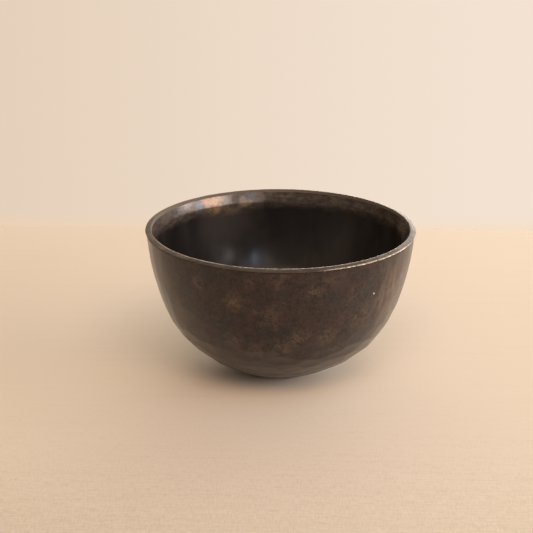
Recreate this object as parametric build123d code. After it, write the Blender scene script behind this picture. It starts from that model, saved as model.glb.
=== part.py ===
from build123d import *
import math
import os

# A small raised and planished copper bowl, in millimetres.
# +Z is up along the bowl's axis. The origin is the centre of the flat base, on the surface it rests on.
# -Y is the front. Three pieces make it: the raised body, a strip bent into a hoop and seated on the
# body's lip, and the braze that joins the two and closes the hoop's butt joint.

# ---- driving dimensions ----

RIM_RADIUS = 70.0           # outside of the rim hoop, the widest point of the bowl
HEIGHT = 78.5               # base to the inner top edge of the hoop, before that edge is rounded

# outside of the body, from the base up: a flat, then three arcs, each tangent to the one before
BASE_RADIUS = 15.6          # flat that the bowl rests on
BASE_SLOPE = 18.0           # degrees above level, where the wall leaves the base
LOWER_ARC_RADIUS = 90.0
LOWER_ARC_END_SLOPE = 39.0
BELLY_ARC_RADIUS = 53.5
BELLY_ARC_END_SLOPE = 68.0  # from here one long arc runs to the lip
BASE_EDGE_ROUNDING = 2.0

# wall: even up to the end of the belly arc, then thicker towards a bevel inside the lip
WALL = 2.0
FLOOR_ROUNDING = 30.0       # inside, where the flat floor turns up into the wall
BEVEL_DEPTH = 7.0           # from the top of the rim down
BEVEL_LEAN = 13.0           # degrees away from upright, opening upwards
BEVEL_FOOT_ROUNDING = 6.0

# rim hoop: a strip bent edge-up into a ring, level with the bevel inside and proud of the wall outside
HOOP_WIDTH = 3.0
HOOP_HEIGHT = 1.25
HOOP_OVERHANG = 0.6
HOOP_TOP_FALL = 0.95        # the top falls from its inner edge to its outer edge
HOOP_TOP_CROWN = 0.13       # and bulges this much above a straight line between them
HOOP_EDGE_ROUNDING = 0.25
HOOP_JOINT_BEARING = 8.0    # degrees round from the front, towards +X
HOOP_JOINT_GAP = 0.4

# braze: a layer between lip and hoop, and a bead in the corner under the overhang
BRAZE_LAYER = 0.25
BEAD_DROP = 0.6             # how far the bead runs down the wall

# ---- derived dimensions ----

HOOP_SEAT_HEIGHT = HEIGHT - HOOP_HEIGHT
LIP_HEIGHT = HOOP_SEAT_HEIGHT - BRAZE_LAYER
LIP_OUTER_RADIUS = RIM_RADIUS - HOOP_OVERHANG
HOOP_INNER_RADIUS = RIM_RADIUS - HOOP_WIDTH
BEVEL_SPREAD = math.tan(math.radians(BEVEL_LEAN))
HOOP_SEAT_INNER_RADIUS = HOOP_INNER_RADIUS - HOOP_HEIGHT * BEVEL_SPREAD
LIP_INNER_RADIUS = HOOP_INNER_RADIUS - (HEIGHT - LIP_HEIGHT) * BEVEL_SPREAD
BEVEL_FOOT_HEIGHT = HEIGHT - BEVEL_DEPTH
BEVEL_FOOT_RADIUS = HOOP_INNER_RADIUS - BEVEL_DEPTH * BEVEL_SPREAD


def slope_vector(slope):
    """Unit vector, in the XZ half-plane, that climbs at a slope in degrees."""
    angle = math.radians(slope)
    return Vector(math.cos(angle), 0, math.sin(angle))


def rising_arc(start, start_slope, end_slope, radius):
    """Arc that climbs from start, bending upwards from one slope to the other."""
    start = Vector(*start)
    inward = Vector(-math.sin(math.radians(start_slope)), 0, math.cos(math.radians(start_slope)))
    centre = start + inward * radius
    middle_slope = (start_slope + end_slope) / 2
    points = [start]
    for slope in (middle_slope, end_slope):
        outward = Vector(math.sin(math.radians(slope)), 0, -math.cos(math.radians(slope)))
        points.append(centre + outward * radius)
    return ThreePointArc(*points)


def wall_profile(start, start_slope, inset, top):
    """The three tangent arcs of one side of the wall, from its foot up to its top point.

    inset is how far this side lies inside the outer side, measured square to the wall.
    """
    lower = rising_arc(start, start_slope, LOWER_ARC_END_SLOPE, LOWER_ARC_RADIUS - inset)
    belly = rising_arc(lower @ 1, LOWER_ARC_END_SLOPE, BELLY_ARC_END_SLOPE, BELLY_ARC_RADIUS - inset)
    shoulder = TangentArc(belly @ 1, Vector(*top), tangent=slope_vector(BELLY_ARC_END_SLOPE))
    return [lower, belly, shoulder]


def floor_corner():
    """Where the inner side of the lower arc meets the flat floor: its radius and its slope there."""
    base_slope = math.radians(BASE_SLOPE)
    centre_radius = BASE_RADIUS - LOWER_ARC_RADIUS * math.sin(base_slope)
    centre_height = LOWER_ARC_RADIUS * math.cos(base_slope)
    inner_arc_radius = LOWER_ARC_RADIUS - WALL
    slope = math.acos((centre_height - WALL) / inner_arc_radius)
    return centre_radius + inner_arc_radius * math.sin(slope), math.degrees(slope)


def turned(lines):
    """Solid of revolution about Z of the closed outline that the lines make in the XZ half-plane."""
    return revolve(make_face(Wire(lines)), Axis.Z, 360)


def circle_edges(solid, radius, height):
    """The circular edges of a turned solid at one radius and height."""
    def is_there(edge):
        point = edge @ 0
        return math.isclose(math.hypot(point.X, point.Y), radius, abs_tol=0.01) and math.isclose(
            point.Z, height, abs_tol=0.01)
    return solid.edges().filter_by(GeomType.CIRCLE).filter_by(is_there)


def make_bowl_body():
    """Vessel raised from one sheet: flat base, full belly, thick upper wall, lip bevelled inside."""
    lip_outer_edge = (LIP_OUTER_RADIUS, 0, LIP_HEIGHT)
    lip_inner_edge = (LIP_INNER_RADIUS, 0, LIP_HEIGHT)
    bevel_foot = (BEVEL_FOOT_RADIUS, 0, BEVEL_FOOT_HEIGHT)
    outer = wall_profile((BASE_RADIUS, 0, 0), BASE_SLOPE, 0, lip_outer_edge)
    corner_radius, corner_slope = floor_corner()
    inner = wall_profile((corner_radius, 0, WALL), corner_slope, WALL, bevel_foot)
    outline = [
        Line((0, 0, 0), (BASE_RADIUS, 0, 0)),
        *outer,
        Line(lip_outer_edge, lip_inner_edge),
        Line(lip_inner_edge, bevel_foot),
        *inner,
        Line((corner_radius, 0, WALL), (0, 0, WALL)),
        Line((0, 0, WALL), (0, 0, 0)),
    ]
    body = turned(outline)
    body = fillet(circle_edges(body, corner_radius, WALL), FLOOR_ROUNDING)
    body = fillet(circle_edges(body, BEVEL_FOOT_RADIUS, BEVEL_FOOT_HEIGHT), BEVEL_FOOT_ROUNDING)
    return fillet(circle_edges(body, BASE_RADIUS, 0), BASE_EDGE_ROUNDING)


def make_joint_slot():
    """Thin upright slab, wide and tall enough to cut the hoop through at its butt joint."""
    slab_length = 4 * HOOP_WIDTH
    slab = Box(HOOP_JOINT_GAP, slab_length, 4 * HOOP_HEIGHT)
    middle_radius = RIM_RADIUS - HOOP_WIDTH / 2
    at_front = Pos(0, -middle_radius, HOOP_SEAT_HEIGHT + HOOP_HEIGHT / 2) * slab
    return at_front.rotate(Axis.Z, HOOP_JOINT_BEARING)


def make_closed_hoop():
    """The rim strip as a full ring, before its joint is cut."""
    seat_inner = (HOOP_SEAT_INNER_RADIUS, 0, HOOP_SEAT_HEIGHT)
    seat_outer = (RIM_RADIUS, 0, HOOP_SEAT_HEIGHT)
    top_outer = (RIM_RADIUS, 0, HEIGHT - HOOP_TOP_FALL)
    top_inner = (HOOP_INNER_RADIUS, 0, HEIGHT)
    fall_angle = math.atan2(HOOP_TOP_FALL, HOOP_WIDTH)
    top_middle = (
        RIM_RADIUS - HOOP_WIDTH / 2 + HOOP_TOP_CROWN * math.sin(fall_angle),
        0,
        HEIGHT - HOOP_TOP_FALL / 2 + HOOP_TOP_CROWN * math.cos(fall_angle),
    )
    ring = turned([
        Line(seat_inner, seat_outer),
        Line(seat_outer, top_outer),
        ThreePointArc(top_outer, top_middle, top_inner),
        Line(top_inner, seat_inner),
    ])
    rounded = circle_edges(ring, RIM_RADIUS, HEIGHT - HOOP_TOP_FALL)
    rounded += circle_edges(ring, HOOP_INNER_RADIUS, HEIGHT)
    return fillet(rounded, HOOP_EDGE_ROUNDING)


def make_rim_braze(body, hoop, slot):
    """Layer between lip and hoop, sloping bead under the overhang, and fill of the butt joint."""
    bead_top = (RIM_RADIUS, 0, HOOP_SEAT_HEIGHT)
    bead_foot = (LIP_OUTER_RADIUS, 0, LIP_HEIGHT - BEAD_DROP)
    outline = [
        Line((HOOP_SEAT_INNER_RADIUS, 0, HOOP_SEAT_HEIGHT), bead_top),
        Line(bead_top, bead_foot),
        Line(bead_foot, (LIP_OUTER_RADIUS, 0, LIP_HEIGHT)),
        Line((LIP_OUTER_RADIUS, 0, LIP_HEIGHT), (LIP_INNER_RADIUS, 0, LIP_HEIGHT)),
        Line((LIP_INNER_RADIUS, 0, LIP_HEIGHT), (HOOP_SEAT_INNER_RADIUS, 0, HOOP_SEAT_HEIGHT)),
    ]
    joint_fill = hoop & slot
    return turned(outline) - body + joint_fill


slot = make_joint_slot()
closed_hoop = make_closed_hoop()
bowl_body = make_bowl_body()
rim_hoop = closed_hoop - slot
rim_braze = make_rim_braze(bowl_body, closed_hoop, slot)

os.makedirs("parts", exist_ok=True)
export_step(bowl_body, "parts/bowl_body.step")
export_step(rim_hoop, "parts/rim_hoop.step")
export_step(rim_braze, "parts/rim_braze.step")
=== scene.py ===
import math

import bpy
import numpy as np
from mathutils import Matrix, Vector


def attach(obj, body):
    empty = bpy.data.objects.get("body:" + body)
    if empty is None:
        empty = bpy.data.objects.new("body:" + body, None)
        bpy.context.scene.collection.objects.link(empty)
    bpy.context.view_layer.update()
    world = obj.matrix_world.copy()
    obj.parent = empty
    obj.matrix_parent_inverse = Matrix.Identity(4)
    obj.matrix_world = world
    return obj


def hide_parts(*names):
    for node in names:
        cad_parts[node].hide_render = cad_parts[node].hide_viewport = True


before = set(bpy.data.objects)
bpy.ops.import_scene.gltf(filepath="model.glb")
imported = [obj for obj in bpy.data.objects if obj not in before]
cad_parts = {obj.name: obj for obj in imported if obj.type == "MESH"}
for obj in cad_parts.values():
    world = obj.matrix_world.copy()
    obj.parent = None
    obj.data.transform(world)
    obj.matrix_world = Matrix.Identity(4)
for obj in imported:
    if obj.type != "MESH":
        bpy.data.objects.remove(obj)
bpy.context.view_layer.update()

# The hammered copper bowl, in metres, in the frame's own axes: +Z up, -Y the front.
# The smooth CAD solids are replaced by hammered, worn pieces of the same size.

MM = 0.001

# ---- the bowl's outline, as in the CAD ----

RIM_RADIUS = 70.0 * MM
HEIGHT = 78.5 * MM
BASE_RADIUS = 15.6 * MM
BASE_SLOPE = 18.0
LOWER_ARC_RADIUS = 90.0 * MM
LOWER_ARC_END_SLOPE = 39.0
BELLY_ARC_RADIUS = 53.5 * MM
BELLY_ARC_END_SLOPE = 68.0
WALL = 2.0 * MM
BEVEL_DEPTH = 7.0 * MM
BEVEL_LEAN = 13.0
HOOP_WIDTH = 3.0 * MM
HOOP_HEIGHT = 1.25 * MM
HOOP_OVERHANG = 0.6 * MM
HOOP_TOP_SLOPES = (8.0, 27.0)   # degrees down from level, at the inner and at the outer edge
HOOP_JOINT_BEARING = 8.0
HOOP_JOINT_GAP = 0.4 * MM
HOOP_SIDE_CLEARANCE = 0.02 * MM         # the worn hoop stays this far inside the CAD's widest radius
HOOP_TOP_CLEARANCE = 0.04 * MM          # and this far below the height before the edge is rounded
JOINT_FILL_SHRINK = 0.04    # of its size, so that the braze in the joint lies just under the hoop
BRAZE_LAYER = 0.25 * MM
BEAD_DROP = 0.6 * MM

# how far from a corner of the outline its rounding starts
BASE_EDGE_REACH = 1.0 * MM
FLOOR_CORNER_REACH = 4.8 * MM
BEVEL_FOOT_REACH = 0.6 * MM
HOOP_OUTER_EDGE_REACH = 0.15 * MM
HOOP_INNER_EDGE_REACH = 0.22 * MM

BEVEL_SPREAD = math.tan(math.radians(BEVEL_LEAN))
HOOP_SEAT_HEIGHT = HEIGHT - HOOP_HEIGHT
LIP_HEIGHT = HOOP_SEAT_HEIGHT - BRAZE_LAYER
LIP_OUTER_RADIUS = RIM_RADIUS - HOOP_OVERHANG
HOOP_INNER_RADIUS = RIM_RADIUS - HOOP_WIDTH
HOOP_SEAT_INNER_RADIUS = HOOP_INNER_RADIUS - HOOP_HEIGHT * BEVEL_SPREAD
LIP_INNER_RADIUS = HOOP_INNER_RADIUS - (HEIGHT - LIP_HEIGHT) * BEVEL_SPREAD
BEVEL_FOOT = (HOOP_INNER_RADIUS - BEVEL_DEPTH * BEVEL_SPREAD, HEIGHT - BEVEL_DEPTH)
JOINT_TURN = math.radians(HOOP_JOINT_BEARING - 90)      # counted from +X, as every turn in a mesh is
JOINT_HALF_ANGLE = HOOP_JOINT_GAP / 2 / RIM_RADIUS

# ---- mesh fineness ----

BODY_SEGMENTS = 640
BODY_STEP = 0.8 * MM
HOOP_SEGMENTS = 1200
HOOP_STEP = 0.28 * MM
CENTRE_HOLE = 0.3 * MM      # radius of the small polygon that closes the base and the floor
CORNER_ANGLE = 40           # degrees, edges that turn more than this are shaded as corners

# ---- hammer work ----

BLOW_PITCH = 9.5 * MM
FIRST_COURSE = 18 * MM      # along the outline, from the middle of the base
COURSE_OVERLAP = 0.9        # courses lie this much of a blow's length apart
BLOW_JITTER_ACROSS = 0.2    # of a blow's width
BLOW_JITTER_ALONG = 0.26    # of a blow's length
LOW_STRETCH = 1.35          # blows low on the wall are this much wider and shorter than those high up
LOW_STRETCH_SPAN = (42 * MM, 75 * MM)   # along the outline, where that fades
BLOW_REACH = 30 * MM        # no blow's face reaches further from its centre than about this
BLOW_REACH_FALL = 25 * MM   # past it, a face rises by distance squared less reach squared, over this
RIDGE_HEIGHT = 0.30 * MM    # how far a face has risen at the distances below; less high on the wall
RIDGE_SOFTNESS = 0.07 * MM
LOW_BLOW = (7.4, 4.4)       # those distances from the blow's centre, across and up, low on the wall, mm
HIGH_BLOW = (5.8, 9.2)      # the same high on the wall
BLOW_SIZE_SPREAD = (-0.6, 0.8)          # mm, the least and the most that is added to them at random
FACE_OFFSET_SPREAD = 0.06   # mm, standard deviation of how deep the faces lie
FACE_TILT_SPREAD = 0.10     # mm, the same of how far they lean over those distances
HIGH_STRENGTH = 0.55        # how deep the work is high on the wall, against low down
HIGH_SPAN = (30 * MM, 55 * MM)          # heights between which low changes to high
DEEPEST = 0.4 * MM
FACE_SET_BACK = 0.06 * MM   # the hammered wall as a whole lies this much inside the CAD's
UNDULATION = 0.10 * MM      # height of the slow waves that the faces lie on
CHUNK = 4000                # points worked out at a time, which keeps the arrays small

# ---- finish of the other surfaces ----

INSIDE_UNDULATION = 0.05 * MM
INSIDE_RIPPLE = 0.02 * MM
HOOP_DENTS = 0.03           # mm
HOOP_UNDULATION = 0.04      # mm
HOOP_SET_BACK = 0.04        # mm, so that the dented hoop stays within the CAD's
BEAD_LUMPS = 0.06 * MM
CREST_WEAR_SPAN = (0.25 * MM, 0.9 * MM)     # from the hoop's inner top edge, where the wear fades
EDGE_WEAR_SPAN = (0.15 * MM, 0.8 * MM)      # the same from its outer top edge, where wear and, on the right front, a painted highlight fade

random = np.random.default_rng(7)


# ---- outline curves: arrays of (radius, height) ----

def rising_arc(start, slope, end_slope, radius, count=60):
    """Points of an arc that bends upwards from one slope to another, in degrees."""
    slope, end_slope = math.radians(slope), math.radians(end_slope)
    centre = np.array(start) + radius * np.array([-math.sin(slope), math.cos(slope)])
    slopes = np.linspace(slope, end_slope, count)
    return centre + radius * np.stack([np.sin(slopes), -np.cos(slopes)], axis=1)


def closing_arc(start, slope, end):
    """Points of the arc that leaves start at a slope and reaches end."""
    reach = np.array(end) - np.array(start)
    chord_slope = math.degrees(math.atan2(reach[1], reach[0]))
    turn = 2 * (chord_slope - slope)
    radius = np.linalg.norm(reach) / (2 * math.sin(math.radians(turn / 2)))
    return rising_arc(start, slope, slope + turn, radius)


def wall_side(start, slope, inset, top):
    """The three tangent arcs of one side of the wall, from its foot up to its top point."""
    lower = rising_arc(start, slope, LOWER_ARC_END_SLOPE, LOWER_ARC_RADIUS - inset)
    belly = rising_arc(lower[-1], LOWER_ARC_END_SLOPE, BELLY_ARC_END_SLOPE, BELLY_ARC_RADIUS - inset)
    shoulder = closing_arc(belly[-1], BELLY_ARC_END_SLOPE, top)
    return np.concatenate([lower, belly[1:], shoulder[1:]])


def floor_corner():
    """Where the inner side of the lower arc meets the flat floor: its radius and its slope there."""
    slope = math.radians(BASE_SLOPE)
    centre_radius = BASE_RADIUS - LOWER_ARC_RADIUS * math.sin(slope)
    centre_height = LOWER_ARC_RADIUS * math.cos(slope)
    inner_arc_radius = LOWER_ARC_RADIUS - WALL
    corner_slope = math.acos((centre_height - WALL) / inner_arc_radius)
    return centre_radius + inner_arc_radius * math.sin(corner_slope), math.degrees(corner_slope)


def lengths_along(points):
    return np.concatenate([[0], np.cumsum(np.linalg.norm(np.diff(points, axis=0), axis=1))])


def even_steps(points, step):
    """The same curve with its points evenly spaced, about a step apart."""
    lengths = lengths_along(points)
    count = max(2, int(round(lengths[-1] / step)) + 1)
    along = np.linspace(0, lengths[-1], count)
    return np.stack([np.interp(along, lengths, points[:, i]) for i in (0, 1)], axis=1)


def join_rounded(first, second, reach, count=9):
    """Two curves that meet in a corner, joined by a curve that starts and ends a reach from it."""
    corner = first[-1]
    start = even_steps(first, reach / 8)
    end = even_steps(second, reach / 8)
    start = start[np.linalg.norm(start - corner, axis=1) > reach]
    end = end[np.linalg.norm(end - corner, axis=1) > reach]
    t = np.linspace(0, 1, count)[1:-1, None]
    bend = (1 - t) ** 2 * start[-1] + 2 * t * (1 - t) * corner + t ** 2 * end[0]
    return np.concatenate([start, bend, end])


def body_outline():
    """Outer side from the middle of the base to the lip, and inner side from the floor to the lip."""
    outer_wall = wall_side((BASE_RADIUS, 0), BASE_SLOPE, 0, (LIP_OUTER_RADIUS, LIP_HEIGHT))
    base = np.array([(CENTRE_HOLE, 0), (BASE_RADIUS, 0)])
    outer = even_steps(join_rounded(base, outer_wall, BASE_EDGE_REACH), BODY_STEP)

    corner_radius, corner_slope = floor_corner()
    inner_wall = wall_side((corner_radius, WALL), corner_slope, WALL, BEVEL_FOOT)
    floor = np.array([(CENTRE_HOLE, WALL), (corner_radius, WALL)])
    bevel = np.array([BEVEL_FOOT, (LIP_INNER_RADIUS, LIP_HEIGHT)])
    inner = join_rounded(floor, inner_wall, FLOOR_CORNER_REACH)
    inner = join_rounded(inner, bevel, BEVEL_FOOT_REACH)
    return outer, even_steps(inner, BODY_STEP * 0.8)


# ---- mesh helpers ----

def turned_grid(outline, turns):
    """Points of an outline turned round Z, as a grid: outline along rows, angles along columns."""
    return np.stack([
        outline[:, None, 0] * np.cos(turns)[None],
        outline[:, None, 0] * np.sin(turns)[None],
        np.broadcast_to(outline[:, None, 1], (len(outline), len(turns))),
    ], axis=-1)


def grid_normals(grid):
    """Unit normals of a turned grid, to the right of the way that its outline runs."""
    along = np.gradient(grid, axis=0)
    around = np.stack([-grid[..., 1], grid[..., 0], np.zeros(grid.shape[:2])], axis=-1)
    normals = np.cross(around, along)
    return normals / np.linalg.norm(normals, axis=-1, keepdims=True)


def grid_faces(rows, columns, closed_rows, closed_columns):
    """Quads between the points of a grid."""
    i = np.arange(rows if closed_rows else rows - 1)[:, None]
    j = np.arange(columns if closed_columns else columns - 1)[None]
    below = (i + 1) % rows
    beside = (j + 1) % columns
    corners = [i * columns + j, i * columns + beside, below * columns + beside, below * columns + j]
    return np.stack(corners, axis=-1).reshape(-1, 4).tolist()


def make_mesh(name, points, faces):
    mesh = bpy.data.meshes.new(name)
    mesh.from_pydata(points.reshape(-1, 3).tolist(), [], faces)
    mesh.shade_smooth()
    mesh.set_sharp_from_angle(angle=math.radians(CORNER_ANGLE))
    mesh.update()
    obj = bpy.data.objects.new(name, mesh)
    bpy.context.scene.collection.objects.link(obj)
    return obj


def add_attribute(obj, name, values):
    layer = obj.data.attributes.new(name, "FLOAT", "POINT")
    layer.data.foreach_set("value", np.asarray(values, np.float32).ravel())


def finish_piece(obj, material, node):
    """Put a piece in the place of its CAD node."""
    obj.data.materials.append(material)
    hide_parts(node)
    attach(obj, "root")


# ---- hand work: undulation and hammer facets ----

def smoothstep(low, high, x):
    t = np.clip((x - low) / (high - low), 0, 1)
    return t * t * (3 - 2 * t)


def waves(points, scale, count, seed):
    """Smooth random undulation, about -1 to 1, with a wavelength near scale."""
    generator = np.random.default_rng(seed)
    total = np.zeros(points.shape[:-1])
    for _ in range(count):
        direction = generator.normal(size=3)
        direction /= np.linalg.norm(direction)
        pitch = scale * generator.uniform(0.7, 1.5)
        total += np.sin(points @ direction * 2 * math.pi / pitch + generator.uniform(0, 2 * math.pi))
    return total / math.sqrt(count / 2) / 1.6


def hammer_blows(outline):
    """Blows laid in courses round the bowl: the centre of each, and its up and across directions."""
    lengths = lengths_along(outline)
    centres, ups, acrosses = [], [], []
    course = FIRST_COURSE
    while course < lengths[-1] - BLOW_PITCH / 4:
        radius = np.interp(course, lengths, outline[:, 0])
        stretch = LOW_STRETCH - (LOW_STRETCH - 1) * smoothstep(*LOW_STRETCH_SPAN, course)
        count = max(3, int(round(2 * math.pi * radius / BLOW_PITCH / stretch)))
        offset = random.uniform(0, 1)
        for k in range(count):
            turn = (k + offset + random.normal(0, BLOW_JITTER_ACROSS)) * 2 * math.pi / count
            along = course + random.normal(0, BLOW_JITTER_ALONG) * BLOW_PITCH / stretch
            place = [np.interp(along, lengths, outline[:, i]) for i in (0, 1)]
            ahead = [np.interp(along + 0.1 * MM, lengths, outline[:, i]) for i in (0, 1)]
            way = np.array(ahead) - np.array(place)
            way = way / np.linalg.norm(way) if np.any(way) else np.array([0, 1.0])
            centres.append((place[0] * math.cos(turn), place[0] * math.sin(turn), place[1]))
            ups.append((way[0] * math.cos(turn), way[0] * math.sin(turn), way[1]))
            acrosses.append((-math.sin(turn), math.cos(turn), 0))
        course += BLOW_PITCH * COURSE_OVERLAP / stretch
    return np.array(centres), np.array(ups), np.array(acrosses)


def facet_depth(points, blows, size_up, size_across, ridge, offset, tilt):
    """Height of the hammered surface: the lowest of the near-flat faces that meet at each point."""
    centres, ups, acrosses = blows
    flat = points.reshape(-1, 3)
    depth = np.zeros(len(flat))
    for first in range(0, len(flat), CHUNK):
        apart = flat[first:first + CHUNK, None, :] - centres[None]
        up = np.einsum("pcx,cx->pc", apart, ups) / size_up
        across = np.einsum("pcx,cx->pc", apart, acrosses) / size_across
        beyond = np.maximum(np.einsum("pcx,pcx->pc", apart, apart) - BLOW_REACH ** 2, 0)
        face = offset + ridge * (up ** 2 + across ** 2) + tilt[:, 0] * up + tilt[:, 1] * across
        face += beyond / BLOW_REACH_FALL
        lowest = face.min(1, keepdims=True)
        total = np.exp(-(face - lowest) / RIDGE_SOFTNESS).sum(1)
        depth[first:first + CHUNK] = lowest[:, 0] - RIDGE_SOFTNESS * np.log(total)
    return depth.reshape(points.shape[:-1])


# ---- node helpers ----

class Nodes:
    """Short calls for building one material."""

    def __init__(self, name):
        self.material = bpy.data.materials.new(name)
        self.material.use_nodes = True
        self.tree = self.material.node_tree
        self.tree.nodes.clear()
        output = self.tree.nodes.new("ShaderNodeOutputMaterial")
        self.shader = self.tree.nodes.new("ShaderNodeBsdfPrincipled")
        self.tree.links.new(self.shader.outputs[0], output.inputs["Surface"])
        self.place = self.tree.nodes.new("ShaderNodeTexCoord").outputs["Object"]

    def put(self, socket, value):
        if isinstance(value, bpy.types.NodeSocket):
            self.tree.links.new(value, socket)
        else:
            socket.default_value = value

    def set(self, name, value):
        self.put(self.shader.inputs[name], value)

    def split_place(self):
        node = self.tree.nodes.new("ShaderNodeSeparateXYZ")
        self.put(node.inputs[0], self.place)
        return node.outputs

    def attribute(self, name):
        node = self.tree.nodes.new("ShaderNodeAttribute")
        node.attribute_name = name
        return node.outputs["Fac"]

    def noise(self, size, detail=3.0, roughness=0.55, seed=0.0, squash=(1, 1, 1)):
        """Noise with features about size metres across, squashed along each axis."""
        mapping = self.tree.nodes.new("ShaderNodeMapping")
        self.put(mapping.inputs["Vector"], self.place)
        mapping.inputs["Location"].default_value = (seed * 1.7, seed * 2.3, seed * 3.1)
        mapping.inputs["Scale"].default_value = squash
        node = self.tree.nodes.new("ShaderNodeTexNoise")
        self.put(node.inputs["Vector"], mapping.outputs[0])
        node.inputs["Scale"].default_value = 1.0 / size
        node.inputs["Detail"].default_value = detail
        node.inputs["Roughness"].default_value = roughness
        return node.outputs["Fac"]

    def calc(self, operation, a, b=0.0):
        node = self.tree.nodes.new("ShaderNodeMath")
        node.operation = operation
        self.put(node.inputs[0], a)
        self.put(node.inputs[1], b)
        return node.outputs[0]

    def times(self, a, b):
        return self.calc("MULTIPLY", a, b)

    def plus(self, a, b):
        return self.calc("ADD", a, b)

    def step(self, value, low, high):
        """0 at low, 1 at high, smooth between."""
        node = self.tree.nodes.new("ShaderNodeMapRange")
        node.interpolation_type = "SMOOTHSTEP"
        self.put(node.inputs["Value"], value)
        rising = high > low
        self.put(node.inputs["From Min"], low if rising else high)
        self.put(node.inputs["From Max"], high if rising else low)
        self.put(node.inputs["To Min"], 0.0 if rising else 1.0)
        self.put(node.inputs["To Max"], 1.0 if rising else 0.0)
        return node.outputs["Result"]

    def near(self, place, radius):
        """1 at a place on the bowl, falling smoothly to 0 at a radius from it."""
        apart = self.tree.nodes.new("ShaderNodeVectorMath")
        apart.operation = "DISTANCE"
        self.put(apart.inputs[0], self.place)
        apart.inputs[1].default_value = place
        return self.step(apart.outputs["Value"], radius, 0.0)

    def blend(self, amount, first, second):
        """Colour that goes from first to second."""
        node = self.tree.nodes.new("ShaderNodeMix")
        node.data_type = "RGBA"
        self.put(node.inputs["Factor"], amount)
        a, b = [s for s in node.inputs if s.name in ("A", "B") and s.type == "RGBA"]
        self.put(a, (*first, 1) if isinstance(first, tuple) else first)
        self.put(b, (*second, 1) if isinstance(second, tuple) else second)
        return [s for s in node.outputs if s.type == "RGBA"][0]

    def blend_value(self, amount, first, second):
        """Number that goes from first to second."""
        node = self.tree.nodes.new("ShaderNodeMix")
        node.data_type = "FLOAT"
        self.put(node.inputs[0], amount)
        self.put(node.inputs[2], first)
        self.put(node.inputs[3], second)
        return node.outputs[0]

    def bump(self, height, distance, strength=1.0):
        node = self.tree.nodes.new("ShaderNodeBump")
        node.inputs["Strength"].default_value = strength
        node.inputs["Distance"].default_value = distance
        self.put(node.inputs["Height"], height)
        self.put(self.shader.inputs["Normal"], node.outputs[0])


# ---- materials ----

def on_wall(bearing, height, radius):
    """A place by its bearing in degrees from the front towards +X, its height and its radius in mm."""
    angle = math.radians(bearing)
    return (radius * MM * math.sin(angle), -radius * MM * math.cos(angle), height * MM)


# where the patina outside is rubbed thin: bearing, height, radius there, reach, strength
THIN_PATCHES = [
    (-20, 59, 67, 8, 1.0),
    (-36, 67, 68, 6, 0.9),
    (-23, 37, 60, 9, 0.7),
    (-11, 30, 57, 11, 0.7),
    (0, 33, 59, 11, 0.8),
    (9, 39, 61, 10, 0.8),
    (14, 66, 68, 6, 0.8),
    (22, 39, 61, 10, 0.6),
    (30, 30, 57, 9, 0.6),
    (38, 48, 64, 9, 0.7),
    (140, 50, 64, 14, 0.8),
    (200, 35, 57, 12, 0.7),
]

# heat colours left inside the bevel, partly a painted reflection of the window light: bearing, height,
# reach in mm, colour
HEAT_TINTS_AND_REFLECTIONS = [
    (-112, 75, 9, (0.120, 0.090, 0.068)),
    (-129, 75, 7, (0.135, 0.102, 0.088)),
    (-138, 74, 4, (0.085, 0.098, 0.135)),
    (-145, 77, 9, (0.260, 0.110, 0.058)),
    (-146, 73, 8, (0.250, 0.165, 0.090)),
    (-155, 70, 9, (0.125, 0.091, 0.066)),
    (-158, 74, 4, (0.050, 0.035, 0.025)),
    (-163, 73, 6, (0.220, 0.165, 0.120)),
    (-165, 77, 6, (0.100, 0.100, 0.105)),
    (100, 75, 14, (0.260, 0.205, 0.160)),
]

# where the lighter band inside, thinner patina and partly a painted reflection, reaches further down:
# bearing, height, reach, how much further
BAND_SAGS = [
    (-154, 69, 22, 3.4),
    (-120, 69, 16, 1.5),
    (92, 69, 26, 3.0),
]


DEEP_BROWN = (0.0078, 0.0052, 0.0052)
RUSSET = (0.0285, 0.0130, 0.0112)
SLATE = (0.0085, 0.0090, 0.0115)
PALE_BROWN = (0.052, 0.0325, 0.0275)
OCHRE = (0.100, 0.066, 0.043)
WORN_COPPER_AND_SHEEN = (0.160, 0.100, 0.070)
BRUSHED_COPPER_AND_SHEEN = (0.130, 0.092, 0.074)
LOW_WALL_BROWN = (0.0100, 0.0052, 0.0030)
GLINT_WHITE = (0.80, 0.76, 0.70)


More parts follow.
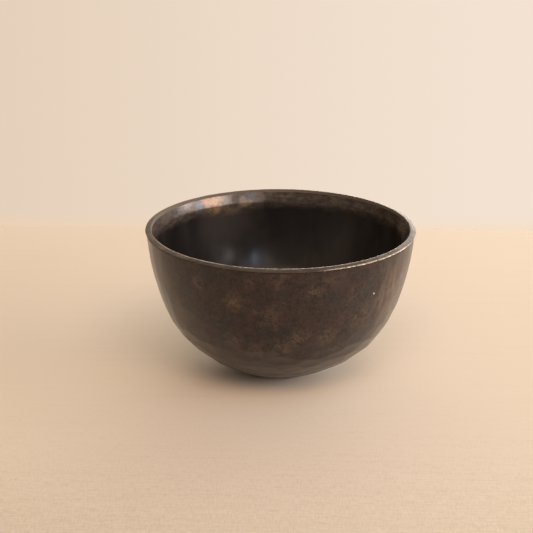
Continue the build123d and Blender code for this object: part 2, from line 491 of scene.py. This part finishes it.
def outer_patina(m):
    """Outside: near-black brown with russet and slate clouds, rubbed to ochre in speckled patches."""
    clouds = m.noise(14 * MM, detail=3, roughness=0.6, seed=1)
    mottle = m.noise(3.6 * MM, detail=5, roughness=0.65, seed=2)
    grain = m.noise(1.0 * MM, detail=3, roughness=0.6, seed=3)
    mixed = m.plus(m.plus(m.times(clouds, 0.34), m.times(mottle, 0.38)), m.times(grain, 0.28))
    russet = m.step(mixed, 0.43, 0.58)
    slate = m.step(m.noise(19 * MM, detail=3, seed=6), 0.50, 0.64)
    colour = m.blend(russet, DEEP_BROWN, RUSSET)
    colour = m.blend(m.times(slate, 0.8), colour, SLATE)
    pitting = m.step(m.noise(1.9 * MM, detail=4, roughness=0.7, seed=15), 0.42, 0.62)
    colour = m.blend(m.times(pitting, 0.28), colour, PALE_BROWN)

    patches = m.times(m.step(m.noise(15 * MM, seed=14), 0.52, 0.66), 0.35)
    for bearing, height, radius, reach, strength in THIN_PATCHES:
        patch = m.times(m.near(on_wall(bearing, height, radius), reach * MM), strength)
        patches = m.calc("MAXIMUM", patches, patch)
    speckle = m.step(m.plus(m.times(mottle, 0.60), m.times(grain, 0.40)), 0.40, 0.60)
    ochre = m.times(patches, speckle)
    dust = m.noise(1.3 * MM, detail=3, roughness=0.6, seed=5)
    flecks = m.times(m.step(dust, 0.61, 0.70), 0.3)
    colour = m.blend(m.calc("MAXIMUM", ochre, flecks), colour, OCHRE)

    # worn copper streaks and brushed marks on the right side, partly a painted sheen where the window light
    # falls
    streaks = m.noise(3.5 * MM, detail=3, roughness=0.6, seed=7, squash=(1, 1, 0.18))
    side = m.near(on_wall(58, 56, 69), 26 * MM)
    copper = m.times(side, m.step(streaks, 0.40, 0.68))
    colour = m.blend(m.times(copper, 0.62), colour, WORN_COPPER_AND_SHEEN)
    scratches = m.noise(1.0 * MM, detail=4, roughness=0.7, seed=16, squash=(1, 1, 0.35))
    brushed_and_sheen = m.times(m.step(scratches, 0.50, 0.68), m.near(on_wall(48, 58, 66), 32 * MM))
    colour = m.blend(m.times(brushed_and_sheen, 0.26), colour, BRUSHED_COPPER_AND_SHEEN)
    low = m.step(m.split_place()[2], 40 * MM, 10 * MM)
    colour = m.blend(m.times(low, 0.75), colour, LOW_WALL_BROWN)
    # a tiny nick, painted near-white as a glint
    nick_glint = m.near(on_wall(44, 59.2, 67.0), 0.65 * MM)
    colour = m.blend(m.step(nick_glint, 0.1, 0.6), colour, GLINT_WHITE)

    roughness = m.blend_value(ochre, m.blend_value(mottle, 0.24, 0.44), 0.48)
    metallic = m.times(copper, 0.12)
    height = m.plus(mottle, m.times(grain, 0.5))
    return colour, roughness, metallic, height


INSIDE_DARK_LEFT = (0.0100, 0.0078, 0.0070)
INSIDE_DARK_RIGHT = (0.0225, 0.0180, 0.0160)
INSIDE_LIGHT_LEFT = (0.0190, 0.0150, 0.0138)
INSIDE_LIGHT_RIGHT = (0.034, 0.0275, 0.0245)
SHEEN_GREY = (0.050, 0.0405, 0.037)
BEVEL_DARK = (0.058, 0.044, 0.036)
BEVEL_LIGHT = (0.132, 0.101, 0.083)
BEVEL_SPECKLE = (0.034, 0.025, 0.020)


def inner_patina(m):
    """Inside: black-brown, painted lighter towards the window side with a painted sheen at the back left,
    and heat colours and thinner patina on the bevel below the rim, partly a painted reflection of the
    window light.
    """
    # painted light: the inside is painted lighter towards +X, the window side, and its lighter vertical
    # streaks are partly painted reflections, partly uneven patina
    streaks = m.noise(11 * MM, detail=2, seed=8, squash=(1, 1, 0.3))
    right = m.step(m.split_place()[0], -20 * MM, 45 * MM)
    dark = m.blend(right, INSIDE_DARK_LEFT, INSIDE_DARK_RIGHT)
    light = m.blend(right, INSIDE_LIGHT_LEFT, INSIDE_LIGHT_RIGHT)
    colour = m.blend(m.step(streaks, 0.36, 0.70), dark, light)
    # a painted grey sheen on the back left of the inside
    painted_sheen = m.times(m.near(on_wall(-152, 63, 64), 26 * MM), 0.7)
    colour = m.blend(painted_sheen, colour, SHEEN_GREY)
    mottle = m.noise(4.5 * MM, detail=4, roughness=0.65, seed=10, squash=(0.8, 0.8, 1.5))
    ragged = m.times(m.calc("SUBTRACT", m.noise(9 * MM, detail=4, seed=9), 0.5), 5 * MM)
    edge = m.plus(m.attribute("below_rim"), ragged)
    for bearing, height, reach, sag in BAND_SAGS:
        sagging = m.near(on_wall(bearing, height, 65), reach * MM)
        edge = m.calc("SUBTRACT", edge, m.times(sagging, sag * MM))
    # the lighter band on the bevel is partly thinner patina and heat colour, partly a painted reflection of
    # the window light
    band = m.step(edge, 11.5 * MM, 5.0 * MM)
    speckle = m.step(m.noise(1.7 * MM, detail=3, roughness=0.6, seed=12), 0.50, 0.62)
    worn_and_reflected = m.blend(m.step(mottle, 0.36, 0.66), BEVEL_DARK, BEVEL_LIGHT)
    cover = m.step(mottle, 0.30, 0.52)
    for bearing, height, reach, tint in HEAT_TINTS_AND_REFLECTIONS:
        spot = m.near(on_wall(bearing, height, 66), reach * MM)
        worn_and_reflected = m.blend(m.times(m.step(spot, 0.0, 0.6), cover), worn_and_reflected, tint)
    worn_and_reflected = m.blend(m.times(speckle, 0.35), worn_and_reflected, BEVEL_SPECKLE)
    colour = m.blend(band, colour, worn_and_reflected)
    metallic = m.times(band, 0.22)
    roughness = m.blend_value(band, m.blend_value(streaks, 0.24, 0.36), 0.20)
    return colour, roughness, metallic, mottle


WAX_WEIGHT = 0.52           # the coat that stands for old wax and handling
WAX_ROUGHNESS = 0.20


def patina_material():
    """Dark patina on the body, mottled and satin outside, blacker and smoother inside."""
    m = Nodes("patina")
    inside = m.attribute("inside")
    outer_colour, outer_roughness, outer_metallic, outer_height = outer_patina(m)
    inner_colour, inner_roughness, inner_metallic, inner_height = inner_patina(m)
    m.set("Base Color", m.blend(inside, outer_colour, inner_colour))
    m.set("Roughness", m.blend_value(inside, outer_roughness, inner_roughness))
    m.set("Metallic", m.blend_value(inside, outer_metallic, inner_metallic))
    m.set("IOR", 1.5)
    m.set("Specular IOR Level", 0.2)
    m.set("Coat Weight", WAX_WEIGHT)
    m.set("Coat Roughness", WAX_ROUGHNESS)
    m.bump(m.blend_value(inside, outer_height, m.times(inner_height, 0.4)), 0.09 * MM, 0.6)
    return m.material


RIM_DARK = (0.108, 0.077, 0.060)
RIM_LIGHT = (0.185, 0.140, 0.111)
RIM_GRIME_AND_SHADE = (0.030, 0.022, 0.018)
RIM_OUTER_SIDE_SHADE = (0.042, 0.031, 0.025)
RIM_INNER_SIDE = (0.150, 0.115, 0.090)
RUBBED_METAL_AND_HIGHLIGHT = (0.57, 0.46, 0.38)


def rim_material():
    """Dressed rim strip: dull brown patina over metal, rubbed bright along its crest, with painted shade on
    its front and outer side and a painted highlight along its right-front edge.
    """
    m = Nodes("rim")
    speckle = m.noise(1.6 * MM, detail=4, roughness=0.65, seed=21)
    tone = m.noise(9 * MM, seed=22)
    base = m.blend(m.step(tone, 0.35, 0.65), RIM_DARK, RIM_LIGHT)
    base = m.blend(m.step(speckle, 0.35, 0.60), m.blend(0.45, base, RIM_GRIME_AND_SHADE), base)
    # rubbed bright along the crest, and along the outer edge on the right front, where it is partly a
    # painted highlight
    rubbed = m.plus(m.attribute("crest"), m.times(m.attribute("edge"), 1.1))
    rubbed = m.times(m.step(rubbed, 0.15, 0.80), m.step(speckle, 0.28, 0.56))
    # painted shade: the front of the rim is painted darker
    base = m.blend(m.times(m.attribute("front"), 0.6), base, RIM_GRIME_AND_SHADE)
    # painted shade on the hoop's outer side, under its top edge
    base = m.blend(m.attribute("outer_side"), base, RIM_OUTER_SIDE_SHADE)
    base = m.blend(m.attribute("inner_side"), base, RIM_INNER_SIDE)
    m.set("Base Color", m.blend(rubbed, base, RUBBED_METAL_AND_HIGHLIGHT))
    m.set("Metallic", m.blend_value(rubbed, 0.08, 0.42))
    m.set("Specular IOR Level", 0.25)
    sides = m.plus(m.attribute("outer_side"), m.attribute("inner_side"))
    m.set("Roughness", m.blend_value(sides, m.blend_value(rubbed, 0.52, 0.34), 0.9))
    m.bump(speckle, 0.08 * MM, 0.5)
    return m.material


BRAZE_DARK_AND_SHADE = (0.022, 0.016, 0.013)
BRAZE_INNER = (0.160, 0.124, 0.098)
BRAZE_JOINT = (0.085, 0.063, 0.050)
BRAZE_SPECK = (0.30, 0.15, 0.09)


def braze_material():
    """Dark braze with a few coppery specks, painted darkest on the outer bead as the shade under the hoop's
    overhang.
    """
    m = Nodes("braze")
    speckle = m.noise(1.2 * MM, detail=4, roughness=0.7, seed=31)
    tone = m.noise(6 * MM, seed=32)
    copper = m.times(m.step(speckle, 0.55, 0.66), m.step(tone, 0.5, 0.62))
    # the outer bead's near-black is partly painted shade under the hoop's overhang
    dull = m.blend(m.attribute("inner"), BRAZE_DARK_AND_SHADE, BRAZE_INNER)
    dull = m.blend(m.attribute("joint"), dull, BRAZE_JOINT)
    m.set("Base Color", m.blend(copper, dull, BRAZE_SPECK))
    m.set("Metallic", 0.15)
    m.set("Specular IOR Level", 0.3)
    m.set("Roughness", m.blend_value(m.attribute("inner"), 0.5, 0.9))
    m.bump(speckle, 0.1 * MM, 0.7)
    return m.material


# ---- the pieces ----

def hammered_outside(grid, outline):
    """The outer side's grid, moved to its hammered shape."""
    blows = hammer_blows(outline)
    heights = blows[0][:, 2]
    count = len(heights)
    high = smoothstep(*HIGH_SPAN, heights)
    strength = 1 - (1 - HIGH_STRENGTH) * high
    width = LOW_BLOW[0] + (HIGH_BLOW[0] - LOW_BLOW[0]) * high
    length = LOW_BLOW[1] + (HIGH_BLOW[1] - LOW_BLOW[1]) * high
    size_up = (length + random.uniform(*BLOW_SIZE_SPREAD, count)) * MM
    size_across = (width + random.uniform(*BLOW_SIZE_SPREAD, count)) * MM
    offset = random.normal(0, FACE_OFFSET_SPREAD, count) * strength * MM
    tilt = random.normal(0, FACE_TILT_SPREAD, (count, 2)) * strength[:, None] * MM
    ridge = RIDGE_HEIGHT * strength
    depth = facet_depth(grid, blows, size_up, size_across, ridge, offset, tilt)
    depth = np.clip(depth, -DEEPEST, DEEPEST) - FACE_SET_BACK
    depth += UNDULATION * waves(grid, 45 * MM, 9, 5)
    radius = np.hypot(grid[..., 0], grid[..., 1])
    calm = 0.6 * smoothstep(LIP_HEIGHT - 4 * MM, LIP_HEIGHT, grid[..., 2])
    amount = smoothstep(BASE_RADIUS - 1 * MM, BASE_RADIUS + 5 * MM, radius) * (1 - calm)
    moved = grid + grid_normals(grid) * (depth * amount)[..., None]
    moved[..., 2] = np.maximum(moved[..., 2], 0)
    return moved


def uneven_inside(grid):
    """The inner side's grid with the slight unevenness of a scraped and polished surface."""
    depth = INSIDE_UNDULATION * waves(grid, 28 * MM, 12, 6)
    depth += INSIDE_RIPPLE * waves(grid, 11 * MM, 14, 8)
    amount = smoothstep(0, 3 * MM, LIP_HEIGHT - grid[..., 2])
    return grid + grid_normals(grid) * (depth * amount)[..., None]


def make_body():
    turns = np.arange(BODY_SEGMENTS) * 2 * math.pi / BODY_SEGMENTS
    outer, inner = body_outline()
    outer_points = hammered_outside(turned_grid(outer, turns), outer)
    inner_points = uneven_inside(turned_grid(inner, turns))
    points = np.concatenate([outer_points, inner_points[::-1]], axis=0)
    rows = len(points)
    faces = grid_faces(rows, BODY_SEGMENTS, False, True)
    base_centre = list(range(BODY_SEGMENTS))[::-1]
    floor_centre = list(range((rows - 1) * BODY_SEGMENTS, rows * BODY_SEGMENTS))
    body = make_mesh("hammered_body", points, faces + [base_centre, floor_centre])
    inside = np.zeros((rows, BODY_SEGMENTS))
    inside[len(outer):] = 1
    add_attribute(body, "inside", inside)
    add_attribute(body, "below_rim", HEIGHT - points[..., 2])
    finish_piece(body, patina_material(), "bowl_body")


def hoop_section():
    """Closed outline of the rim strip: bevelled inside, its top falling ever more steeply outwards."""
    seat = [(HOOP_SEAT_INNER_RADIUS, HOOP_SEAT_HEIGHT), (RIM_RADIUS, HOOP_SEAT_HEIGHT)]
    slopes = np.radians(np.linspace(*HOOP_TOP_SLOPES, 12))
    top_radius = HOOP_WIDTH / (math.sin(slopes[-1]) - math.sin(slopes[0]))
    top = np.stack([
        HOOP_INNER_RADIUS + top_radius * (np.sin(slopes) - math.sin(slopes[0])),
        HEIGHT - top_radius * (math.cos(slopes[0]) - np.cos(slopes)),
    ], axis=1)[::-1]
    outside = np.array([seat[1], tuple(top[0])])
    inside = np.array([tuple(top[-1]), seat[0]])
    outline = join_rounded(outside, top, HOOP_OUTER_EDGE_REACH, 5)
    outline = join_rounded(outline, inside, HOOP_INNER_EDGE_REACH, 5)
    outline = np.concatenate([np.array(seat), outline[1:]])
    return even_steps(outline, HOOP_STEP)[:-1]      # the last point repeats the first


def make_hoop():
    """Rim strip, slightly uneven, open at its butt joint."""
    gap = JOINT_HALF_ANGLE
    turns = JOINT_TURN + np.linspace(gap, 2 * math.pi - gap, HOOP_SEGMENTS)
    section = hoop_section()
    grid = turned_grid(section, turns)
    away = section - section.mean(0)
    away /= np.linalg.norm(away, axis=1, keepdims=True)
    radial = np.stack([np.cos(turns), np.sin(turns), np.zeros(HOOP_SEGMENTS)], axis=-1)
    outward = away[:, None, 0, None] * radial[None] + away[:, None, 1, None] * np.array([0, 0, 1.0])
    dents = HOOP_DENTS * waves(grid, 3.5 * MM, 16, 11)
    dents += HOOP_UNDULATION * waves(grid, 12 * MM, 12, 12)
    dents -= HOOP_SET_BACK
    grid = grid + outward * (dents * MM)[..., None]
    grid[..., 2] = np.minimum(grid[..., 2], HEIGHT - HOOP_TOP_CLEARANCE)
    radius = np.hypot(grid[..., 0], grid[..., 1])
    grid[..., :2] *= np.minimum(1, (RIM_RADIUS - HOOP_SIDE_CLEARANCE) / radius)[..., None]
    rows = len(section)
    faces = grid_faces(rows, HOOP_SEGMENTS, True, False)
    first_end = [k * HOOP_SEGMENTS for k in range(rows)]
    last_end = [k * HOOP_SEGMENTS + HOOP_SEGMENTS - 1 for k in range(rows)][::-1]
    hoop = make_mesh("rim_hoop_worn", grid, faces + [first_end, last_end])
    mark_hoop_wear(hoop, section, turns)
    finish_piece(hoop, rim_material(), "rim_hoop")


def mark_hoop_wear(hoop, section, turns):
    """Attributes that say where the hoop is rubbed bright, partly a painted highlight, where it is painted
    in shade, and where its dull sides are.
    """
    top_fall = HOOP_WIDTH * math.tan(math.radians(sum(HOOP_TOP_SLOPES) / 2))
    from_crest = np.hypot(section[:, 0] - HOOP_INNER_RADIUS, section[:, 1] - HEIGHT)
    from_edge = np.hypot(section[:, 0] - RIM_RADIUS, section[:, 1] - HEIGHT + top_fall)
    crest = 1 - smoothstep(*CREST_WEAR_SPAN, from_crest)
    edge = 1 - smoothstep(*EDGE_WEAR_SPAN, from_edge)
    bearing = np.degrees(turns) + 90
    front = 0.5 + 0.5 * np.cos(np.radians(bearing))
    # the right front, where the outer edge is painted bright, partly wear and partly a painted highlight of
    # the window light
    right = smoothstep(8, 32, bearing) * (1 - smoothstep(50, 85, bearing))
    worn_front = smoothstep(0.5, 0.9, front) * (1 - 0.35 * right)
    add_attribute(hoop, "crest", crest[:, None] * worn_front[None])
    add_attribute(hoop, "edge", edge[:, None] * right[None])
    # painted shade: where the front of the rim is painted darker
    whole_front = np.broadcast_to(smoothstep(0.7, 0.97, front), (len(section), HOOP_SEGMENTS))
    add_attribute(hoop, "front", whole_front)
    below_top = HEIGHT - top_fall * (section[:, 0] - HOOP_INNER_RADIUS) / HOOP_WIDTH - section[:, 1]
    side = smoothstep(0.2 * MM, 0.5 * MM, below_top)
    outer_side = side * (section[:, 0] > RIM_RADIUS - 0.3 * MM)
    inner_side = side * (section[:, 0] < HOOP_INNER_RADIUS + 0.1 * MM)
    inner_edge = 1 - smoothstep(0.20 * MM, 0.60 * MM, section[:, 0] - HOOP_INNER_RADIUS)
    inner_edge *= section[:, 1] > HOOP_SEAT_HEIGHT
    left = smoothstep(215, 245, bearing) * (1 - smoothstep(300, 330, bearing))
    add_attribute(hoop, "outer_side", np.repeat(outer_side[:, None], HOOP_SEGMENTS, axis=1))
    inner_side = np.maximum(inner_side[:, None], inner_edge[:, None] * left[None])
    add_attribute(hoop, "inner_side", inner_side)


def joint_fill():
    """Points and faces of the braze in the hoop's butt joint, a touch smaller than the hoop."""
    section = hoop_section()
    section += (section.mean(0) - section) * JOINT_FILL_SHRINK
    points = turned_grid(section, JOINT_TURN + np.array([-1, 1]) * JOINT_HALF_ANGLE)
    rows = len(section)
    ends = [[2 * k for k in range(rows)], [2 * k + 1 for k in range(rows)][::-1]]
    return points.reshape(-1, 3), grid_faces(rows, 2, True, False) + ends


def make_braze():
    """Layer between lip and hoop, uneven bead under the hoop's overhang, and fill of its butt joint."""
    turns = np.arange(HOOP_SEGMENTS) * 2 * math.pi / HOOP_SEGMENTS
    bead = [
        (RIM_RADIUS - 0.16 * MM, HOOP_SEAT_HEIGHT),
        (LIP_OUTER_RADIUS + 0.20 * MM, LIP_HEIGHT - 0.10 * MM),
        (LIP_OUTER_RADIUS + 0.07 * MM, LIP_HEIGHT - BEAD_DROP * 0.7),
    ]
    section = np.array([
        (HOOP_SEAT_INNER_RADIUS, HOOP_SEAT_HEIGHT),
        *bead,
        (LIP_OUTER_RADIUS - 0.4 * MM, LIP_HEIGHT - BEAD_DROP * 1.6),    # within the body's wall
        (LIP_OUTER_RADIUS - 0.5 * MM, LIP_HEIGHT),
        (LIP_INNER_RADIUS, LIP_HEIGHT),
    ])
    grid = turned_grid(section, turns)
    radial = np.stack([np.cos(turns), np.sin(turns), np.zeros(HOOP_SEGMENTS)], axis=-1)
    lumps = waves(grid, 2 * MM, 16, 15) * BEAD_LUMPS
    lumps[[0, 4, 5, 6]] = 0     # only the bead is lumpy
    grid = grid + radial[None] * lumps[..., None]
    faces = grid_faces(len(section), HOOP_SEGMENTS, True, True)

    fill, fill_faces = joint_fill()
    first = grid.shape[0] * grid.shape[1]
    faces += [[first + corner for corner in face] for face in fill_faces]

    points = np.concatenate([grid.reshape(-1, 3), fill])
    braze = make_mesh("rim_braze_bead", points, faces)
    inner = np.zeros(grid.shape[:2])
    inner[[0, -1]] = 1
    add_attribute(braze, "inner", np.concatenate([inner.ravel(), np.zeros(len(fill))]))
    add_attribute(braze, "joint", np.concatenate([np.zeros(first), np.ones(len(fill))]))
    finish_piece(braze, braze_material(), "rim_braze")


# ---- stage, light and camera ----

TABLE_BACK = 0.24           # the table ends here, and what shows beyond it is the far wall
TABLE_REACH = 2.5
WALL_DISTANCE = 3.0
WALL_SIDE = 4               # from the middle of the wall to each side of it
WALL_BOTTOM = -2
WALL_TOP = 4
CLOTH = (0.79, 0.66, 0.545)
CLOTH_SHADE = (0.66, 0.545, 0.435)
# painted light on the wall: paler to the right where the window light falls, and a warmer foot for light
# bounced off the table
WALL_LEFT = (0.78, 0.63, 0.49)
WALL_RIGHT = (0.90, 0.76, 0.64)
WALL_FOOT_LEFT = (0.83, 0.63, 0.46)
WALL_FOOT_RIGHT = (0.92, 0.74, 0.58)
WALL_FOOT_TOP = -0.852      # the wall's foot colour fades in from here down
WALL_FOOT_FULL = -0.892
WALL_PALING = (-0.85, 0.6)  # across the wall, where the left colours change to the right ones
WALL_DIMMING = (-0.35, 0.4) # up the wall, where the glow falls
WALL_GLOW = (1.0, 0.97)     # below that and above it


def make_table():
    reach = TABLE_REACH
    corners = [(-reach, -reach, 0), (reach, -reach, 0), (reach, TABLE_BACK, 0), (-reach, TABLE_BACK, 0)]
    table = make_mesh("table", np.array(corners), [(0, 1, 2, 3)])
    m = Nodes("table_cloth")
    # painted shade: the cloth is painted darker towards the front, where less light falls
    near = m.step(m.split_place()[1], -0.08, -0.26)
    threads = m.noise(2.2 * MM, detail=3, roughness=0.6, seed=41, squash=(0.03, 1, 1))
    shade = m.times(m.calc("SUBTRACT", threads, 0.5), 0.7)
    warp = m.noise(0.75 * MM, detail=2, seed=42, squash=(1, 0.15, 1))
    weft = m.noise(0.75 * MM, detail=2, seed=43, squash=(0.15, 1, 1))
    weave = m.calc("SUBTRACT", m.plus(warp, weft), 1.0)
    in_focus = m.step(m.split_place()[1], 0.00, -0.15)
    shade = m.plus(shade, m.times(m.times(weave, in_focus), 1.7))
    m.set("Base Color", m.blend(m.plus(m.times(near, 0.8), shade), CLOTH, CLOTH_SHADE))
    m.set("Roughness", 0.9)
    m.set("Specular IOR Level", 0.2)
    table.data.materials.append(m.material)
    return table


def make_backdrop():
    """Far wall that glows evenly, with painted light: paler to the right where the window light falls, and
    a warmer foot, painted bounce light off the table, where it meets the table.
    """
    side, bottom, top = WALL_SIDE, WALL_BOTTOM, WALL_TOP
    corners = [(-side, bottom), (side, bottom), (side, top), (-side, top)]
    points = np.array([(x, WALL_DISTANCE, z) for x, z in corners])
    wall = make_mesh("backdrop", points, [(0, 1, 2, 3)])
    m = Nodes("backdrop")
    m.set("Base Color", (0, 0, 0, 1))
    m.set("Specular IOR Level", 0.0)
    across, _, up = m.split_place()
    rightward = m.step(across, *WALL_PALING)
    wall_colour = m.blend(rightward, WALL_LEFT, WALL_RIGHT)
    foot_colour = m.blend(rightward, WALL_FOOT_LEFT, WALL_FOOT_RIGHT)
    m.set("Emission Color", m.blend(m.step(up, WALL_FOOT_TOP, WALL_FOOT_FULL), wall_colour, foot_colour))
    m.set("Emission Strength", m.blend_value(m.step(up, *WALL_DIMMING), *WALL_GLOW))
    wall.data.materials.append(m.material)
    return wall


def make_stage():
    table = make_table()
    wall = make_backdrop()


ROOM_COLOUR = (1.0, 0.82, 0.64, 1)
ROOM_STRENGTH = 0.24
LIGHT_HEIGHT = 0.03         # above the table, the point that bearings and elevations are taken from


def area_light(name, bearing, elevation, distance, size, radiance, upright=False):
    """A soft rectangular light, placed by its bearing from the front towards +X.

    Bearing and elevation are in degrees, distance and size in metres. An upright light stays
    upright, where the others face the bowl.
    """
    turn, rise = math.radians(bearing), math.radians(elevation)
    level = math.cos(rise)
    toward = Vector((math.sin(turn) * level, -math.cos(turn) * level, math.sin(rise)))
    light = bpy.data.lights.new(name, "AREA")
    light.shape = "RECTANGLE"
    light.size, light.size_y = size
    light.energy = max(radiance) * 4 * size[0] * size[1]
    light.color = [part / max(radiance) for part in radiance]
    obj = bpy.data.objects.new(name, light)
    bpy.context.scene.collection.objects.link(obj)
    obj.location = Vector((0, 0, LIGHT_HEIGHT)) + distance * toward
    facing = -toward
    if upright:
        facing.z = 0
    obj.rotation_mode = "QUATERNION"
    obj.rotation_quaternion = facing.to_track_quat("-Z", "Y")


def make_lights():
    """A dim warm room, a long window on the right, and softer light from in front, behind and above."""
    world = bpy.data.worlds.new("room")
    world.use_nodes = True
    background = world.node_tree.nodes["Background"]
    background.inputs["Color"].default_value = ROOM_COLOUR
    background.inputs["Strength"].default_value = ROOM_STRENGTH
    bpy.context.scene.world = world
    area_light("window", 78, 12, 3.0, (3.2, 1.1), (6.1, 5.5, 5.2), upright=True)
    area_light("window_edge", 33, 8, 3.0, (1.8, 0.45), (1.7, 1.5, 1.4), upright=True)
    area_light("far_window", 28, 25, 3.0, (1.9, 0.38), (0.95, 0.93, 0.95))
    area_light("far_window_core", 27, 21, 3.0, (0.13, 0.09), (19.0, 22.0, 34.0))
    area_light("window_back", 120, 10, 1.4, (1.3, 0.5), (2.8, 3.3, 3.4), upright=True)
    area_light("behind", 160, 10, 1.4, (1.0, 0.5), (5.4, 5.2, 4.8), upright=True)
    area_light("front", 8, 48, 3.0, (2.2, 1.3), (3.4, 2.5, 1.7))
    area_light("above", 25, 66, 1.4, (1.1, 0.8), (0.35, 0.6, 0.8))
    area_light("above_back", 180, 35, 1.4, (1.2, 0.6), (0.7, 0.7, 0.5))


# found by fitting the bowl's outline to the photograph; distance in metres, lens in mm, the rest in degrees
CAMERA_DISTANCE = 0.9
CAMERA_ELEVATION = 20.174
CAMERA_LENS = 115.6
CAMERA_TURN = 0.453
CAMERA_LIFT = 1.027
CAMERA_ROLL = 0.409


def make_camera():
    data = bpy.data.cameras.new("camera")
    data.lens = CAMERA_LENS
    data.sensor_width = 36
    camera = bpy.data.objects.new("camera", data)
    bpy.context.scene.collection.objects.link(camera)
    elevation = math.radians(CAMERA_ELEVATION)
    away = Vector((0, -math.cos(elevation), math.sin(elevation)))
    camera.location = Vector((0, 0, HEIGHT / 2)) + CAMERA_DISTANCE * away
    facing = (-away).to_track_quat("-Z", "Y").to_matrix()
    roll = Matrix.Rotation(math.radians(CAMERA_ROLL), 3, "Z")
    turn = Matrix.Rotation(math.radians(CAMERA_TURN), 3, "Y")
    lift = Matrix.Rotation(math.radians(CAMERA_LIFT), 3, "X")
    camera.rotation_mode = "QUATERNION"
    camera.rotation_quaternion = (facing @ roll @ turn @ lift).to_quaternion()
    bpy.context.scene.camera = camera


make_body()
make_hoop()
make_braze()
make_stage()
make_lights()
make_camera()
bpy.context.scene.view_settings.view_transform = "Standard"
